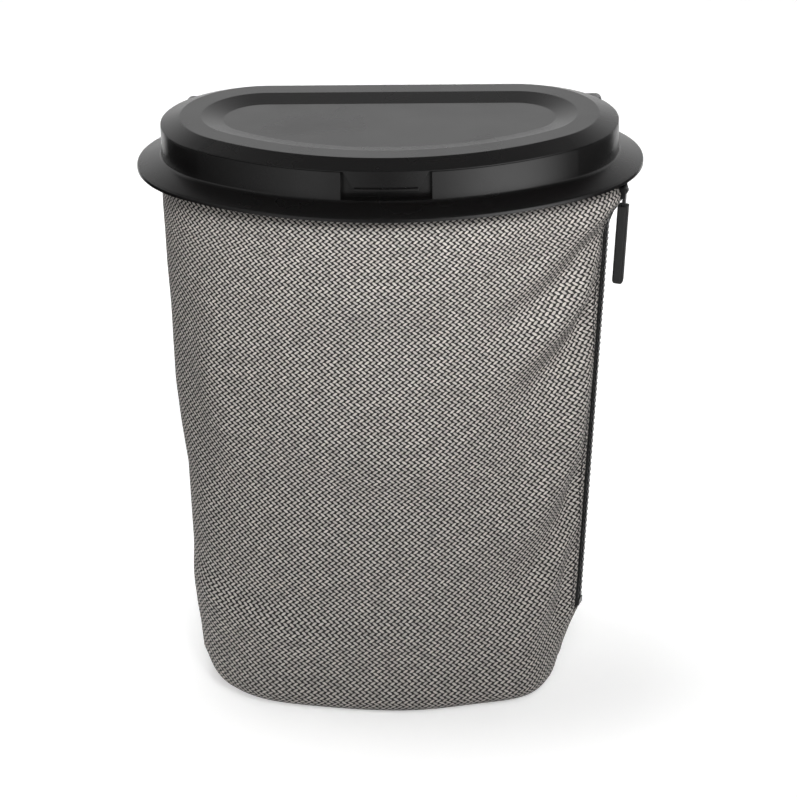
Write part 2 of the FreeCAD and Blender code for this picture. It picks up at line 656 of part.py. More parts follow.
def add_rounding(sketch, x, z, radius, side, up):
    """Adds the scrap outside a rounded corner at (x, z)."""
    inside = V(x.number - side * radius.number, z.number - up * radius.number, 0)
    points = [
        (x - radius * side, z),
        (x - radius * side, z + up),
        (x + side, z + up),
        (x + side, z - radius * up),
        (x, z - radius * up),
    ]
    first = sketch.GeometryCount
    for i in range(4):
        start = V(points[i][0].number, points[i][1].number, 0)
        stop = V(points[i + 1][0].number, points[i + 1][1].number, 0)
        sketch.addGeometry(Part.LineSegment(start, stop), False)
    for i in range(3):
        sketch.addConstraint(Sketcher.Constraint("Coincident", first + i, 2, first + i + 1, 1))
    for i in range(4):
        pin_point(sketch, first + i, 1, points[i][0], points[i][1])
    pin_point(sketch, first + 3, 2, points[4][0], points[4][1])
    ring = Part.Circle(inside, V(0, 0, 1), radius.number)
    begin = {(1, 1): 0, (-1, 1): 1, (-1, -1): 2, (1, -1): 3}[(side, up)] * math.pi / 2
    arc = sketch.addGeometry(Part.ArcOfCircle(ring, begin, begin + math.pi / 2), False)
    on_x = side * up < 0
    sketch.addConstraint(Sketcher.Constraint("Coincident", arc, 1 if on_x else 2, first, 1))
    sketch.addConstraint(Sketcher.Constraint("Coincident", arc, 2 if on_x else 1, first + 3, 2))
    drive(sketch, Sketcher.Constraint("Radius", arc, radius.number), radius)


# Rear clip: a wide upturned U that hangs on a pocket's edge, with a jaw that grips the brim's rear edge.
clip = new_body("rear_clip")
clip_wall = size("clip_wall")
round_in = size("clip_slot") / 2
round_out = round_in + clip_wall
face_y = corner + brim + size("clip_gap")
mid_y = face_y + round_out
clip_top = top - size("clip_top")
mid_z = clip_top - round_out
profile = new_sketch(clip, "YZ_Plane", -size("clip_half"))
yf = face_y.number
ym = mid_y.number
zm = mid_z.number
ro = round_out.number
ri = round_in.number
z_front = clip_top - size("clip_front")
z_tail = clip_top - size("clip_tail")
centre = V(ym, zm, 0)
pieces = [
    Part.LineSegment(V(yf, z_front.number, 0), V(yf, zm, 0)),
    Part.ArcOfCircle(Part.Circle(centre, V(0, 0, 1), ro), 0, math.pi),
    Part.LineSegment(V(ym + ro, zm, 0), V(ym + ro, z_tail.number, 0)),
    Part.LineSegment(V(ym + ro, z_tail.number, 0), V(ym + ri, z_tail.number, 0)),
    Part.LineSegment(V(ym + ri, z_tail.number, 0), V(ym + ri, zm, 0)),
    Part.ArcOfCircle(Part.Circle(centre, V(0, 0, 1), ri), 0, math.pi),
    Part.LineSegment(V(ym - ri, zm, 0), V(ym - ri, z_front.number, 0)),
    Part.LineSegment(V(ym - ri, z_front.number, 0), V(yf, z_front.number, 0)),
]
for piece in pieces:
    profile.addGeometry(piece, False)
for a, a_end, b, b_end in ((0, 2, 1, 2), (1, 1, 2, 1), (4, 2, 5, 1), (5, 2, 6, 1)):
    profile.addConstraint(Sketcher.Constraint("Tangent", a, a_end, b, b_end))
for a, b in ((2, 3), (3, 4), (6, 7), (7, 0)):
    profile.addConstraint(Sketcher.Constraint("Coincident", a, 2, b, 1))
pin_point(profile, 1, 3, mid_y, mid_z)
profile.addConstraint(Sketcher.Constraint("Coincident", 5, 3, 1, 3))
drive(profile, Sketcher.Constraint("Radius", 1, ro), round_out)
drive(profile, Sketcher.Constraint("Radius", 5, ri), round_in)
for upright in (0, 2, 4, 6):
    profile.addConstraint(Sketcher.Constraint("Vertical", upright))
profile.addConstraint(Sketcher.Constraint("Horizontal", 3))
profile.addConstraint(Sketcher.Constraint("Horizontal", 7))
drive(profile, Sketcher.Constraint("DistanceY", -1, 1, 3, 1, z_tail.number), z_tail)
drive(profile, Sketcher.Constraint("DistanceY", -1, 1, 7, 1, z_front.number), z_front)
extrude(clip, "Pad", profile, size("clip_half") * 2)
corners = new_sketch(clip, "XZ_Plane", 0)
for side in (1, -1):
    add_rounding(corners, size("clip_half") * side, clip_top, size("clip_corner"), side, 1)
    add_rounding(corners, size("clip_half") * side, z_tail, size("clip_tail_corner"), side, -1)
extrude(clip, "Pocket", corners, (mid_y + round_out + 5) * 2, both=True)
jaw = new_sketch(clip, "YZ_Plane", -size("jaw_half"))
brim_rear = corner + brim
add_rectangle(jaw, brim_rear - 3.5, face_y + 1.2, brim_low - 2.2, brim_low - 0.2)
extrude(clip, "Pad", jaw, size("jaw_half") * 2)
jaw = new_sketch(clip, "YZ_Plane", -size("jaw_half"))
add_rectangle(jaw, brim_rear - 1.6, face_y + 3.3, brim_high + 0.8, brim_high + 2.4)
extrude(clip, "Pad", jaw, size("jaw_half") * 2)

doc.recompute()
pieces = [
    rim,
    lid,
    doc.getObject("hinge_pin_right"),
    doc.getObject("hinge_pin_left"),
    strip,
    panel,
    base,
    tape_front,
    tape_back,
    doc.getObject("zipper_teeth_front"),
    doc.getObject("zipper_teeth_back"),
    doc.getObject("top_stop_front"),
    doc.getObject("top_stop_back"),
    stop,
    slider,
    link,
    grip,
    clip,
]
for thing in doc.Objects:
    if "Invalid" in thing.State or "Error" in thing.State:
        raise RuntimeError("%s is %s" % (thing.Label, thing.State))
os.makedirs("parts", exist_ok=True)
for piece in pieces:
    shape = piece.Shape
    if shape.isNull() or not shape.isValid() or len(shape.Solids) != 1:
        raise RuntimeError("%s has no single sound solid" % piece.Label)
    shape.exportStep("parts/%s.step" % piece.Label)
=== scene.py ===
import bpy
import math
import numpy as np
from mathutils import Matrix, Vector


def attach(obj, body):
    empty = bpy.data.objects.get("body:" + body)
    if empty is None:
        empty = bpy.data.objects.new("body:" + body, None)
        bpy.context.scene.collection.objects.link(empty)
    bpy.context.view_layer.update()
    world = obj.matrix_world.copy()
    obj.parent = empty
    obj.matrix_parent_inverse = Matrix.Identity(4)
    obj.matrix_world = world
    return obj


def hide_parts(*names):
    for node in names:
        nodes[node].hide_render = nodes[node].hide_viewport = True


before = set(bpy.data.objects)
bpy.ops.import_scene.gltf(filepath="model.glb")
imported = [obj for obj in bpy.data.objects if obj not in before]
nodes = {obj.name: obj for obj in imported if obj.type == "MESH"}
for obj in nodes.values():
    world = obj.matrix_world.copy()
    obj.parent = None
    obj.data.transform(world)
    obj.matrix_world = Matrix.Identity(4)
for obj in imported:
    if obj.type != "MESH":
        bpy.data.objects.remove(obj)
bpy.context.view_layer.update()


# Rim, lid and rear clip: three injection mouldings in black polypropylene. The rim carries the bag,
# the lid turns on two pins behind it, and the clip grips the rear of the brim.
def linear(hex_colour):
    """An sRGB hex colour as linear RGBA."""
    channels = [int(hex_colour[i:i + 2], 16) / 255 for i in (1, 3, 5)]
    return [c / 12.92 if c <= 0.04045 else ((c + 0.055) / 1.055) ** 2.4 for c in channels] + [1.0]


def add_node(tree, kind, inputs=None, **settings):
    """Adds a node, sets its properties, and links or fills the inputs that are named."""
    node = tree.nodes.new(kind)
    for name, value in settings.items():
        setattr(node, name, value)
    for name, value in (inputs or {}).items():
        if isinstance(value, bpy.types.NodeSocket):
            tree.links.new(value, node.inputs[name])
        else:
            node.inputs[name].default_value = value
    return node


def new_material(name):
    """A node material, its tree and its shader."""
    material = bpy.data.materials.new(name)
    material.use_nodes = True
    return material, material.node_tree, material.node_tree.nodes["Principled BSDF"]


def finish_in(material, *names):
    """Gives CAD nodes one material."""
    for name in names:
        nodes[name].data.materials.clear()
        nodes[name].data.materials.append(material)


# Black polypropylene off a spark-eroded mould: a close satin grain that spreads reflections, with
# faint cloudy changes of gloss from handling. The 0.12 mm grain is drawn at 0.45 mm so that it shows.
GRAIN_MM, CLOUD_MM = 0.45, 38.0
moulded_pp, tree, shader = new_material("moulded_polypropylene")
place = add_node(tree, "ShaderNodeTexCoord")
grain = add_node(tree, "ShaderNodeTexNoise", {"Vector": place.outputs["Object"], "Scale": 1000 / GRAIN_MM,
                 "Detail": 1.0, "Roughness": 0.5})
clouds = add_node(tree, "ShaderNodeTexNoise", {"Vector": place.outputs["Object"], "Scale": 1000 / CLOUD_MM,
                  "Detail": 3.0, "Roughness": 0.6})
gloss = add_node(tree, "ShaderNodeMapRange", {"Value": clouds.outputs["Fac"], "From Min": 0.3,
                 "From Max": 0.7, "To Min": 0.22, "To Max": 0.30})
tint = add_node(tree, "ShaderNodeMix", {"Factor": grain.outputs["Fac"], "A": linear("#070707"),
                "B": linear("#0e0d0d")}, data_type="RGBA")
soft_edge = add_node(tree, "ShaderNodeBevel", {"Radius": 0.0005}, samples=4)
bump = add_node(tree, "ShaderNodeBump", {"Height": grain.outputs["Fac"], "Strength": 0.12, "Distance": 0.0001,
                "Normal": soft_edge.outputs["Normal"]})
tree.links.new(tint.outputs["Result"], shader.inputs["Base Color"])
tree.links.new(gloss.outputs["Result"], shader.inputs["Roughness"])
tree.links.new(bump.outputs["Normal"], shader.inputs["Normal"])
shader.inputs["IOR"].default_value = 1.49
finish_in(moulded_pp, "rim_frame", "lid", "rear_clip")


# Hinge pins: two lengths of drawn steel wire pressed through the rim's knuckles.
# Drawn steel: fine lines along the wire that stretch the highlight across it.
LINE_LONG_MM, LINE_FINE_MM = 25.0, 0.2
drawn_steel, tree, shader = new_material("drawn_steel_wire")
place = add_node(tree, "ShaderNodeTexCoord")
lines = add_node(tree, "ShaderNodeMapping", {"Vector": place.outputs["Object"],
                 "Scale": (1000 / LINE_LONG_MM, 1000 / LINE_FINE_MM, 1000 / LINE_FINE_MM)})
draw = add_node(tree, "ShaderNodeTexNoise", {"Vector": lines.outputs["Vector"], "Scale": 1.0, "Detail": 2.0})
steel = add_node(tree, "ShaderNodeMix", {"Factor": draw.outputs["Fac"], "A": linear("#8f9092"),
                 "B": linear("#b9babc")}, data_type="RGBA")
rough = add_node(tree, "ShaderNodeMapRange", {"Value": draw.outputs["Fac"], "To Min": 0.25, "To Max": 0.45})
tree.links.new(steel.outputs["Result"], shader.inputs["Base Color"])
tree.links.new(rough.outputs["Result"], shader.inputs["Roughness"])
shader.inputs["Metallic"].default_value = 1.0
finish_in(drawn_steel, "hinge_pin_left", "hinge_pin_right")


# Bag wall: one length of coated woven fabric, wrapped round the D outline from one side of the zip to
# the other, hemmed over a flat strip under the brim and turned in at the floor. The zip holds its side
# straight; the rest is slack, so it swells at the left and is drawn into slanting folds below the slider.
# Lengths are in millimetres.
STRAIGHT = 58.5                      # corner centres, either side of the middle
CORNER = 50.0                        # corner radius at the hem
FRONT_DEPTH = 70.0                   # the front, forward of the corner centres
FRONT_BULGE = FRONT_DEPTH - CORNER
FRONT_CENTRE = (STRAIGHT ** 2 - FRONT_BULGE ** 2) / (2 * FRONT_BULGE)
FRONT_RADIUS = FRONT_DEPTH + FRONT_CENTRE
TURN = math.atan2(FRONT_CENTRE, STRAIGHT)
ZIP_TURN = math.radians(14)          # the zip, forward of the widest line
HEM_TOP = 268.6
FLARE_LOW, FLARE = 240.0, 4.36       # foot of the flare, and its inset from the hem
FLARE_SPAN = (234, 251)              # heights over which the fabric flares out to the hem
TAPER = 22.5                         # inset at the floor
FLOOR_ROUND, TURN_IN = 12.0, 0.6     # radius of the turn at the floor, and the flat edge after it
ZIP_HIGH, ZIP_LOW = 259.6, 38.6
SLOT_HALF = 6.4                      # half the gap that the zip closes


def spans(offset):
    """Lengths of the outline's five runs, from the zip forward all the way round to the zip."""
    corner = CORNER + offset
    return [corner * (TURN - ZIP_TURN), (FRONT_RADIUS + offset) * (math.pi - 2 * TURN),
            corner * (math.pi / 2 + TURN), np.zeros_like(offset) + 2 * STRAIGHT,
            corner * (math.pi / 2 + ZIP_TURN)]


def outline(along, offset):
    """Points and outward normals on the D outline, a length along it forward from the zip."""
    along, offset = np.broadcast_arrays(np.asarray(along, float), np.asarray(offset, float))
    ends = np.cumsum(np.array(spans(offset)), axis=0)
    along = np.mod(along, ends[4])
    corner = CORNER + offset
    front = FRONT_RADIUS + offset
    a0 = -ZIP_TURN - along / corner
    a1 = -TURN - (along - ends[0]) / front
    a2 = -math.pi + TURN - (along - ends[1]) / corner
    a4 = math.pi / 2 - (along - ends[3]) / corner
    run = [along < ends[0], along < ends[1], along < ends[2], along < ends[3]]
    x = np.select(run, [STRAIGHT + corner * np.cos(a0), front * np.cos(a1), -STRAIGHT + corner * np.cos(a2),
                        -STRAIGHT + along - ends[2]], STRAIGHT + corner * np.cos(a4))
    y = np.select(run, [corner * np.sin(a0), FRONT_CENTRE + front * np.sin(a1), corner * np.sin(a2),
                        corner], corner * np.sin(a4))
    angle = np.select(run, [a0, a1, a2, math.pi / 2 + 0 * a0], a4)
    return x, y, np.cos(angle), np.sin(angle)


def front_middle(offset):
    """Length along the outline from the zip to the middle of the front."""
    runs = spans(offset)
    return runs[0] + runs[1] / 2


def zip_offset(height):
    """The straight taper that the zip lies on, in from the hem's outline."""
    return -FLARE - (FLARE_LOW - height) * (TAPER - FLARE) / FLARE_LOW


def smooth(low, high, value):
    """Zero below the low value, one above the high one, with an easy step between."""
    t = np.clip((value - low) / (high - low), 0, 1)
    return t * t * (3 - 2 * t)


def between(rise, fall, value):
    """Up over one range of values and down again over another."""
    return smooth(*rise, value) * (1 - smooth(*fall, value))


def hump(distance, width):
    """One at no distance, dying away on either side."""
    return np.exp(-(distance / width) ** 2)


def profile(points, height):
    """A curve given by (height, offset) points."""
    return np.interp(height, *np.transpose(points))


def wall_offset(height):
    """The taper, with the short flare that takes the fabric out to the hem."""
    return zip_offset(height) * (1 - smooth(*FLARE_SPAN, height))


# Folds: lines of (millimetres right of the middle, height), then width and drop. The crest and the hollow of
# a fold lie either side of its line, and it grows and dies along the line as part of a half wave.
FOLDS = [
    ([(117, 250), (109, 244), (96, 235), (80, 223), (65, 216), (52, 209)], 11.0, 4.0),
    ([(118, 228), (110, 218), (102, 204), (85, 188), (70, 177), (58, 168)], 13.5, 5.8),
    ([(114, 162), (104, 143), (99, 124), (86, 103), (73, 85), (60, 77)], 15.5, 6.4),
    ([(100, 84), (90, 70), (84, 55), (76, 41), (68, 31)], 11.0, 4.2),
    ([(-84, 128), (-89, 141), (-94, 161), (-97, 178), (-94, 205), (-90, 226)], 14.0, 2.0),
    ([(-100, 64), (-70, 52), (-30, 46), (10, 50), (30, 56)], 12.0, 1.5),
    ([(40, 128), (0, 120), (-40, 132), (-60, 140)], 14.0, 1.5),
    ([(60, 236), (20, 214), (-30, 206), (-70, 212)], 16.0, 1.2),
]
FOLD_CREST = 2.33                    # brings crest and hollow to the full drop
FOLD_HEAD, FOLD_RUN = 0.22, 0.7      # where in the half wave the line starts, and how much of it it takes


def fold(across, height, points, width, drop):
    """A soft fold along a line of points on the wall, that falls away to the left as one walks the line."""
    points = np.array(points, float)
    best = np.full(across.shape, np.inf)
    share, aside, past = np.zeros((3,) + across.shape)
    lengths = np.hypot(*np.diff(points, axis=0).T)
    last = len(lengths) - 1
    start = 0.0
    for i, length in enumerate(lengths):
        step = (points[i + 1] - points[i]) / length
        dx, dz = across - points[i, 0], height - points[i, 1]
        run = dx * step[0] + dz * step[1]
        off_line = step[0] * dz - step[1] * dx
        t = np.clip(run, 0, length)
        away = np.hypot(off_line, run - t)
        over_end = np.abs(run - t) * ((run < 0) & (i == 0) | (run > length) & (i == last))
        nearer = away < best
        share = np.where(nearer, (start + t) / lengths.sum(), share)
        aside = np.where(nearer, np.where(over_end > 0, off_line, np.sign(off_line) * away), aside)
        past = np.where(nearer, over_end, past)
        best = np.minimum(best, away)
        start += length
    steep = aside / width
    fade = np.exp(-steep ** 2 - (past / width) ** 2)
    return -FOLD_CREST * drop * steep * fade * np.sin(math.pi * (FOLD_HEAD + FOLD_RUN * share))


# How the wall hangs at the left and in the middle of the front, as (height, offset from the hem's outline).
LEFT = [(0, -14.2), (18, -13.3), (29, -12.2), (40, -10.5), (50, -9.8), (71, -9.4), (93, -9.1), (114, -8.7),
        (135, -5.9), (156, -3.6), (176, -2.8), (197, -2.5), (217, -1.6), (234, -1.2), (249, -0.3), (260, 0)]
FRONT = [(0, -15.5), (12, -15.0), (30, -15.0), (60, -13.8), (120, -10.4), (240, -1.4), (260, 0)]
LEFT_REACH = 66.0                    # how far round the left swell goes
LOOSE_FROM = (10, 90)                # from the zip, where the front comes loose
# Puckers all over and slow waves at the back: rise, then wavelengths and phases. Folds, puckers and waves
# start a little way from the zip and end below the hem.
PUCKER, PUCKER_WAVES = 0.5, ((17.0, 41.0, 0.0), (-60.0, 29.0, 1.0))
BACK_WAVE, BACK_TALL, BACK_PHASE, BACK_WIDE = 2.2, 52.0, 0.8, 47.0
BACK_FROM = (150, 230)               # left of the middle
RIPPLE_FROM, RIPPLE_TOP = (5, 19), (246, 260)
# Beside the zip: a welt on the seam in front, a tuck behind, and a lip where the hem draws the wall out.
WELT, WELT_AT, WELT_WIDTH, WELT_SPAN = 0.7, 9.5, 4.5, ((38, 60), (225, 245))
TUCK, TUCK_SPAN, TUCK_TOP = 2.0, ((6, 13), (18, 50)), (228, 246)
LIP, LIP_SPAN = 4.6, ((243, 254), (256, 264))
ZIP_REACH = 24.0                     # how far from the zip the lip and the foot below it go
# At the floor: the foot is drawn in below the zip and at the left, and pushed out by two toes in front.
FOOT_AT_ZIP = [(0, -11.0), (5, -9.6), (16, -7.4), (27, -4.0), (38, 0.0)]
FOOT_AT_LEFT = [(0, -8.5), (5, -5.0), (10, -3.0), (18, 0.0)]
FOOT_REACH = 22.0                    # how far round it goes at the left
TOES = [(62, 20.0, 7.5), (-64, 24.0, 3.0)]   # right of the middle, width, rise
TOE_TOP = (12, 70)


def slack(along, offset, height):
    """How far the slack fabric stands out from the straight taper and flare."""
    behind_zip = sum(spans(offset)) - along
    from_zip = np.minimum(along, behind_zip)
    across = front_middle(offset) - along
    from_left = across + (FRONT_RADIUS + offset) * (math.pi / 2 - TURN) + (CORNER + offset) * TURN
    left = hump(from_left, LEFT_REACH)
    middle = (1 - left) * smooth(*LOOSE_FROM, from_zip)
    taper = wall_offset(height)
    out = left * (profile(LEFT, height) - taper) + middle * (profile(FRONT, height) - taper)
    ripple = PUCKER
    for wide, tall, phase in PUCKER_WAVES:
        ripple = ripple * np.sin(across / wide + height / tall + phase)
    wave = BACK_WAVE * np.sin(height / BACK_TALL + BACK_PHASE) * np.sin(from_left / BACK_WIDE)
    ripple = ripple + smooth(*BACK_FROM, -across) * wave
    for points, width, drop in FOLDS:
        ripple = ripple + fold(across, height, points, width, drop)
    ripple = ripple * smooth(*RIPPLE_FROM, from_zip) * (1 - smooth(*RIPPLE_TOP, height))
    welt = WELT * hump(along - WELT_AT, WELT_WIDTH) * between(*WELT_SPAN, height)
    tuck = -TUCK * between(*TUCK_SPAN, behind_zip) * (1 - smooth(*TUCK_TOP, height))
    lip = LIP * hump(from_zip, ZIP_REACH) * between(*LIP_SPAN, height)
    foot = profile(FOOT_AT_ZIP, height) * hump(from_zip, ZIP_REACH)
    foot = foot + profile(FOOT_AT_LEFT, height) * hump(from_left, FOOT_REACH)
    toes = sum(rise * hump(across - at, width) for at, width, rise in TOES)
    return out + ripple + welt + tuck + lip + foot + toes * (1 - smooth(*TOE_TOP, height))


def mesh_object(name, verts, faces, uvs, materials):
    """A smooth-shaded mesh in metres, from points in millimetres with one flat UV each."""
    mesh = bpy.data.meshes.new(name)
    mesh.from_pydata([tuple(v / 1000) for v in verts], [], faces)
    layer = mesh.uv_layers.new(name="flat")
    loops = np.zeros(len(mesh.loops), np.int32)
    mesh.loops.foreach_get("vertex_index", loops)
    layer.data.foreach_set("uv", (np.asarray(uvs) / 1000)[loops].astype(np.float32).ravel())
    mesh.polygons.foreach_set("use_smooth", np.ones(len(mesh.polygons), bool))
    for material in materials:
        mesh.materials.append(material)
    obj = bpy.data.objects.new(name, mesh)
    bpy.context.scene.collection.objects.link(obj)
    return obj


# Rows run down the wall: hem, taper, then the turn at the floor. Each row is an outline offset and a height.
HEM_ROWS, ZIP_ROWS, FOOT_ROWS, ROUND_ROWS = 6, 111, 13, 10
lean = math.atan2(TAPER - FLARE, FLARE_LOW)
tangent = FLOOR_ROUND / math.tan((math.pi / 2 + lean) / 2)
turn_from = tangent * math.cos(lean)
heights = np.concatenate([np.linspace(HEM_TOP, ZIP_HIGH, HEM_ROWS),
                          np.linspace(ZIP_HIGH, ZIP_LOW, ZIP_ROWS)[1:],
                          np.linspace(ZIP_LOW, turn_from, FOOT_ROWS)[1:]])
rows = [(float(wall_offset(z)), z) for z in heights]
for i in range(1, ROUND_ROWS + 1):
    angle = -lean - (math.pi / 2 - lean) * i / ROUND_ROWS
    offset = -TAPER - tangent + FLOOR_ROUND * math.cos(angle)
    rows.append((offset, FLOOR_ROUND + FLOOR_ROUND * math.sin(angle)))
rows.append((-TAPER - FLOOR_ROUND - TURN_IN, 0.0))
rows = np.array(rows)
COLUMNS, BRIDGE = 232, 6             # columns of the wall, and of the short joint above and below the zip
# Behind, the foot lifts off the floor in waves: mean lift, then each wave's rise, length and phase.
LIFT, LIFT_WAVES = 0.9, ((0.8, 31.0, 2.2), (0.4, 13.0, 0.0))
LIFT_TOP, LIFT_FROM = (4, 55), (105, 160)
EDGE_SHARE = 0.2                     # the turned-in edge follows the wall's slack less, by this share


def wall_points(along, offset, height):
    """Points of the slack wall; behind, at the floor, they keep off the ground by a little, unevenly."""
    out = slack(along, offset, height)
    across = front_middle(offset) - along
    x, y, nx, ny = outline(along, offset)
    lift = LIFT + sum(rise * np.sin(across / length + phase) for rise, length, phase in LIFT_WAVES)
    lift = lift * (1 - smooth(*LIFT_TOP, height)) * smooth(*LIFT_FROM, -across)
    fade = 1 - smooth(0.0, 1.0, (-offset - TAPER) / (FLOOR_ROUND + TURN_IN)) * EDGE_SHARE
    return np.stack([x + nx * out * fade, y + ny * out * fade, height + np.maximum(lift, 0) * fade], -1)


verts, uvs, faces = [], [], []
down = 0.0
ring_start = []
for r, (offset, height) in enumerate(rows):
    total = float(sum(spans(np.array(offset))))
    part = np.linspace(0, 1, COLUMNS + 1)
    along = SLOT_HALF + (total - 2 * SLOT_HALF) * part
    bridge = -SLOT_HALF + 2 * SLOT_HALF * np.arange(1, BRIDGE) / BRIDGE
    along = np.concatenate([along, bridge + total])
    if r:
        down += math.hypot(offset - rows[r - 1][0], height - rows[r - 1][1])
    middle = float(front_middle(np.array(offset)))
    points = wall_points(along, np.full(along.shape, offset), np.full(along.shape, height))
    ring_start.append(len(verts))
    verts.extend(points)
    uvs.extend(np.stack([middle - along, np.full(along.shape, -down)], -1))
ring = COLUMNS + BRIDGE
ROUNDING = 0.01                      # so that the rows at the gap's ends count as in it
in_slot = [ZIP_LOW - ROUNDING < height < ZIP_HIGH + ROUNDING for offset, height in rows]
for r in range(len(rows) - 1):
    a, b = ring_start[r], ring_start[r + 1]
    columns = COLUMNS if in_slot[r] and in_slot[r + 1] else ring
    for c in range(columns):
        d = (c + 1) % ring
        faces.append((a + c, a + d, b + d, b + c))
used = sorted({i for f in faces for i in f})
renumber = {old: new for new, old in enumerate(used)}
verts = [verts[i] for i in used]
uvs = [uvs[i] for i in used]
faces = [tuple(renumber[i] for i in f) for f in faces]

# Woven polyester with a clear coating: dark warp crossed by pale weft that leans left and right in turn,
# so the eye sees rows of slanted dashes. Rows are 1.67 mm high and dashes repeat every 3 mm.
DASH_MM, ROW_MM = 3.0, 1.67
WOBBLE_MM, MOTTLE_MM = 7.0, 5.0      # threads wander, and their colour is uneven, over these lengths
ROW_SWAY, DASH_SWAY = 0.22, 0.25     # how far they wander, in rows and in dashes
SLANT = 0.42                         # lean of a dash, in dashes
ROUNDNESS = 2.2                      # how fast a dash falls off towards the edges of its row
EACH_SHARE = 0.25                    # how much of the unevenness goes dash by dash
COUNT_FROM = 400.0                   # keeps the counts of rows and dashes above zero
woven_fabric, tree, shader = new_material("coated_woven_polyester")
flat = add_node(tree, "ShaderNodeUVMap", uv_map="flat")
parts = add_node(tree, "ShaderNodeSeparateXYZ", {"Vector": flat.outputs["UV"]})
wobble = add_node(tree, "ShaderNodeTexNoise", {"Vector": flat.outputs["UV"], "Scale": 1000 / WOBBLE_MM,
                  "Detail": 1.0})
sway = add_node(tree, "ShaderNodeMath", {0: wobble.outputs["Fac"], 1: 0.5}, operation="SUBTRACT")
row = add_node(tree, "ShaderNodeMath", {0: parts.outputs["Y"], 1: 1000 / ROW_MM, 2: COUNT_FROM},
               operation="MULTIPLY_ADD")
row = add_node(tree, "ShaderNodeMath", {0: sway.outputs[0], 1: ROW_SWAY, 2: row.outputs[0]},
               operation="MULTIPLY_ADD")
number = add_node(tree, "ShaderNodeMath", {0: row.outputs[0]}, operation="FLOOR")
within = add_node(tree, "ShaderNodeMath", {0: row.outputs[0]}, operation="FRACT")
within = add_node(tree, "ShaderNodeMath", {0: within.outputs[0], 1: 0.5}, operation="SUBTRACT")
odd = add_node(tree, "ShaderNodeMath", {0: number.outputs[0], 1: 2.0}, operation="MODULO")
sign = add_node(tree, "ShaderNodeMath", {0: odd.outputs[0], 1: -2.0, 2: 1.0}, operation="MULTIPLY_ADD")
slant = add_node(tree, "ShaderNodeMath", {0: within.outputs[0], 1: sign.outputs[0]}, operation="MULTIPLY")
dash = add_node(tree, "ShaderNodeMath", {0: parts.outputs["X"], 1: 1000 / DASH_MM, 2: COUNT_FROM},
                operation="MULTIPLY_ADD")
for source, amount in ((slant, SLANT), (odd, 0.5), (sway, DASH_SWAY)):
    dash = add_node(tree, "ShaderNodeMath", {0: source.outputs[0], 1: amount, 2: dash.outputs[0]},
                    operation="MULTIPLY_ADD")
turn = add_node(tree, "ShaderNodeMath", {0: dash.outputs[0], 1: 2 * math.pi}, operation="MULTIPLY")
wave = add_node(tree, "ShaderNodeMath", {0: turn.outputs[0]}, operation="COSINE")
gap = add_node(tree, "ShaderNodeMath", {0: within.outputs[0], 1: within.outputs[0]}, operation="MULTIPLY")
crown = add_node(tree, "ShaderNodeMath", {0: gap.outputs[0], 1: -ROUNDNESS, 2: wave.outputs[0]},
                 operation="MULTIPLY_ADD")
thread = add_node(tree, "ShaderNodeMapRange", {"Value": crown.outputs[0], "From Min": -0.62,
                  "From Max": 0.42}, interpolation_type="SMOOTHSTEP")
mottle = add_node(tree, "ShaderNodeTexNoise", {"Vector": flat.outputs["UV"], "Scale": 1000 / MOTTLE_MM,
                  "Detail": 4.0, "Roughness": 0.65})
each = add_node(tree, "ShaderNodeMath", {0: dash.outputs[0], 1: 0.5}, operation="ADD")
each = add_node(tree, "ShaderNodeMath", {0: each.outputs[0]}, operation="FLOOR")
each = add_node(tree, "ShaderNodeCombineXYZ", {"X": each.outputs[0], "Y": number.outputs[0]})
each = add_node(tree, "ShaderNodeTexWhiteNoise", {"Vector": each.outputs["Vector"]}, noise_dimensions="2D")
tone = add_node(tree, "ShaderNodeMix", {"Factor": EACH_SHARE, "A": mottle.outputs["Fac"],
                "B": each.outputs["Value"]}, data_type="FLOAT")
pale = add_node(tree, "ShaderNodeMix", {"Factor": tone.outputs["Result"], "A": linear("#8a8581"),
                "B": linear("#e8e2dc")}, data_type="RGBA")
cloth = add_node(tree, "ShaderNodeMix", {"Factor": thread.outputs["Result"], "A": linear("#171615"),
                 "B": pale.outputs["Result"]}, data_type="RGBA")
bump = add_node(tree, "ShaderNodeBump", {"Height": crown.outputs[0], "Strength": 0.5, "Distance": 0.0002})
tree.links.new(cloth.outputs["Result"], shader.inputs["Base Color"])
tree.links.new(bump.outputs["Normal"], shader.inputs["Normal"])
shader.inputs["Roughness"].default_value = 0.7
shader.inputs["IOR"].default_value = 1.45

# The coating inside: dull dark polyurethane that shows the weave only as a faint ripple.
RIPPLE_MM = 2.5
coating, tree, shader = new_material("polyurethane_coating")
flat = add_node(tree, "ShaderNodeUVMap", uv_map="flat")
ripple = add_node(tree, "ShaderNodeTexNoise", {"Vector": flat.outputs["UV"], "Scale": 1000 / RIPPLE_MM,
                  "Detail": 2.0})
shade = add_node(tree, "ShaderNodeMix", {"Factor": ripple.outputs["Fac"], "A": linear("#2b2b2c"),
                 "B": linear("#3a3a3b")}, data_type="RGBA")
bump = add_node(tree, "ShaderNodeBump", {"Height": ripple.outputs["Fac"], "Strength": 0.3,
                "Distance": 0.0002})
tree.links.new(shade.outputs["Result"], shader.inputs["Base Color"])
tree.links.new(bump.outputs["Normal"], shader.inputs["Normal"])
shader.inputs["Roughness"].default_value = 0.55

FABRIC_THICK = 0.0009                # metres
bag_wall = mesh_object("bag_wall", verts, faces, uvs, [woven_fabric, coating])
layer = bag_wall.modifiers.new("thickness", "SOLIDIFY")
layer.thickness = FABRIC_THICK
layer.offset = -1.0
layer.material_offset = 1
layer.material_offset_rim = 1
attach(bag_wall, "bin")
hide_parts("bag_body_panel")


